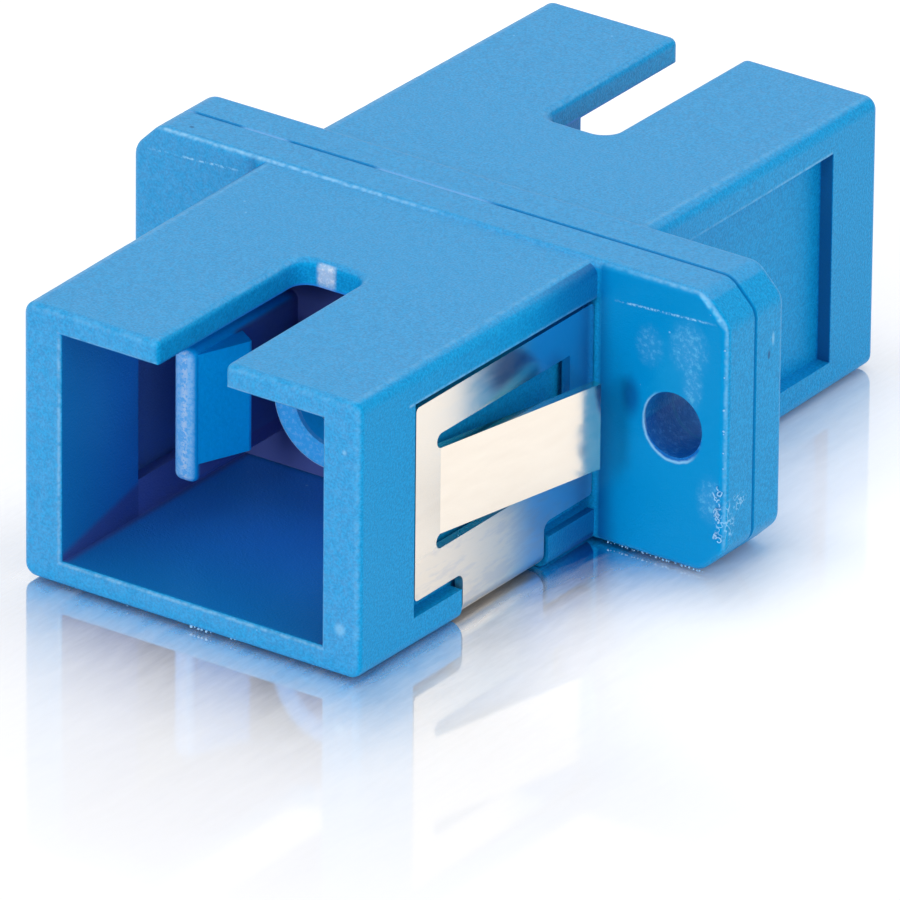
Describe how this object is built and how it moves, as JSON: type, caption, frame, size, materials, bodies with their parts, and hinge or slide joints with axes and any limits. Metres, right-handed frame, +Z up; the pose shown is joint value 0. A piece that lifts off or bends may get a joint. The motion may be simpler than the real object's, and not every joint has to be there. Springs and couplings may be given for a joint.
{
  "type": "sc fibre adapter",
  "caption": "Flanged square coupler that joins push-in optical fibre plugs end to end, with key slots, hooked latch holders, a split alignment sleeve and a sprung steel panel clip.",
  "frame": {"origin": "Middle of the split sleeve on the optical axis, in the plane where the two housing halves meet.", "axes": "+Y runs along the optical axis to the rear port, +X across the flange ears, +Z up to the side with the key slots."},
  "size_m": [0.0224, 0.0278, 0.0095],
  "materials": {
    "housing": "fine matte moulded PBT, sky blue",
    "latch_holder": "moulded plastic, a slightly greyer blue, pale on its cut edges",
    "sleeve": "polished white zirconia",
    "clip": "bright rolled stainless spring strip"
  },
  "bodies": {
    "root": {"front_housing": "housing", "rear_housing": "housing", "front_latch_holder": "latch_holder", "rear_latch_holder": "latch_holder", "split_sleeve": "sleeve", "panel_clip": "clip"}
  },
  "joints": []
}
